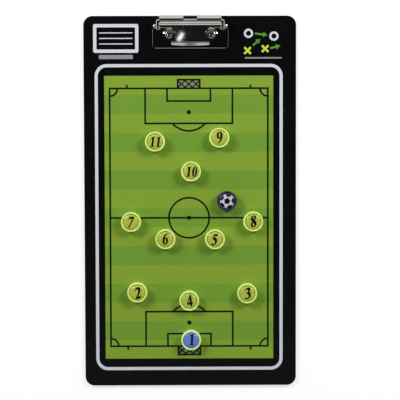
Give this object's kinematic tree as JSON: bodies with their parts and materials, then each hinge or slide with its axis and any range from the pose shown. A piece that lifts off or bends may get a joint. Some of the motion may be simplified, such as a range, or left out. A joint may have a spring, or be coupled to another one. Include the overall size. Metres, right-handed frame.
{
  "type": "tactics board",
  "caption": "Rigid coaching clipboard printed with a football pitch, with a sprung lever clip at the top and magnetic counters that slide on its face.",
  "frame": {"origin": "under the middle of the board, in the plane of its back", "axes": "+X across the board, +Y up the pitch towards the clip, +Z out of the printed face"},
  "size_m": [0.23, 0.402, 0.0178],
  "materials": {
    "board_black": "black laminate with a low sheen",
    "zinc_steel": "zinc-coated sheet",
    "print_green": "satin print in two greens",
    "print_black": "satin print",
    "print_white": "satin print",
    "clip_nickel": "bright nickel plate",
    "spring_wire": "drawn spring wire",
    "cap_lime": "bright moulded plastic",
    "cap_pale_lime": "bright moulded plastic",
    "cap_navy": "dark moulded plastic",
    "face_gold": "glossy domed face",
    "face_blue": "glossy domed face",
    "face_white": "glossy domed face",
    "magnet_ferrite": "sintered ferrite"
  },
  "bodies": {
    "board": {"core_board": "board_black", "back_sheet": "board_black", "face_sheet": "board_black", "steel_sheet": "zinc_steel", "pitch_print": "print_green", "pitch_markings": "print_black", "frame_line": "print_white", "clip_base": "clip_nickel", "pivot_pin": "clip_nickel", "rivet_left": "clip_nickel", "rivet_right": "clip_nickel", "torsion_spring": "spring_wire"},
    "lever": {"clip_lever": "clip_nickel"},
    "keeper_1": {"keeper_1_cap": "cap_pale_lime", "keeper_1_face": "face_blue", "keeper_1_magnet": "magnet_ferrite"},
    "player_2": {"player_2_cap": "cap_lime", "player_2_face": "face_gold", "player_2_magnet": "magnet_ferrite"},
    "player_3": {"player_3_cap": "cap_lime", "player_3_face": "face_gold", "player_3_magnet": "magnet_ferrite"},
    "player_4": {"player_4_cap": "cap_lime", "player_4_face": "face_gold", "player_4_magnet": "magnet_ferrite"},
    "player_5": {"player_5_cap": "cap_lime", "player_5_face": "face_gold", "player_5_magnet": "magnet_ferrite"},
    "player_6": {"player_6_cap": "cap_lime", "player_6_face": "face_gold", "player_6_magnet": "magnet_ferrite"},
    "player_7": {"player_7_cap": "cap_lime", "player_7_face": "face_gold", "player_7_magnet": "magnet_ferrite"},
    "player_8": {"player_8_cap": "cap_lime", "player_8_face": "face_gold", "player_8_magnet": "magnet_ferrite"},
    "player_9": {"player_9_cap": "cap_lime", "player_9_face": "face_gold", "player_9_magnet": "magnet_ferrite"},
    "player_10": {"player_10_cap": "cap_lime", "player_10_face": "face_gold", "player_10_magnet": "magnet_ferrite"},
    "player_11": {"player_11_cap": "cap_lime", "player_11_face": "face_gold", "player_11_magnet": "magnet_ferrite"},
    "ball": {"ball_cap": "cap_navy", "ball_face": "face_white", "ball_magnet": "magnet_ferrite"}
  },
  "joints": [
    {"name": "clip_open", "type": "hinge", "parent": "board", "child": "lever", "pos_m": [0.0006, 0.1896, 0.0086], "axis": [-1, 0, 0], "range_deg": [0, 30], "stiffness_Nm_per_rad": 0.03, "springref_deg": -51.57, "deforming": ["torsion_spring"]},
    {"name": "keeper_1_slide", "type": "slide", "parent": "board", "child": "keeper_1", "axis": [0, 1, 0], "range_m": [-0.0073, 0.0107]},
    {"name": "player_2_slide", "type": "slide", "parent": "board", "child": "player_2", "axis": [0, 1, 0], "range_m": [-0.0465, 0.0285]},
    {"name": "player_3_slide", "type": "slide", "parent": "board", "child": "player_3", "axis": [0, 1, 0], "range_m": [-0.0452, 0.0298]},
    {"name": "player_4_slide", "type": "slide", "parent": "board", "child": "player_4", "axis": [0, 1, 0], "range_m": [-0.0074, 0.0726]},
    {"name": "player_5_slide", "type": "slide", "parent": "board", "child": "player_5", "axis": [0, 1, 0], "range_m": [-0.1042, 0.0058]},
    {"name": "player_6_slide", "type": "slide", "parent": "board", "child": "player_6", "axis": [0, 1, 0], "range_m": [-0.1044, 0.0256]},
    {"name": "player_7_slide", "type": "slide", "parent": "board", "child": "player_7", "axis": [0, 1, 0], "range_m": [-0.0232, 0.1298]},
    {"name": "player_8_slide", "type": "slide", "parent": "board", "child": "player_8", "axis": [0, 1, 0], "range_m": [-0.0234, 0.1296]},
    {"name": "player_9_slide", "type": "slide", "parent": "board", "child": "player_9", "axis": [0, 1, 0], "range_m": [-0.0242, 0.0388]},
    {"name": "player_10_slide", "type": "slide", "parent": "board", "child": "player_10", "axis": [0, 1, 0], "range_m": [-0.0428, 0.0752]},
    {"name": "player_11_slide", "type": "slide", "parent": "board", "child": "player_11", "axis": [0, 1, 0], "range_m": [-0.0551, 0.0429]},
    {"name": "ball_slide", "type": "slide", "parent": "board", "child": "ball", "axis": [0, 1, 0], "range_m": [-0.0108, 0.0192]}
  ]
}
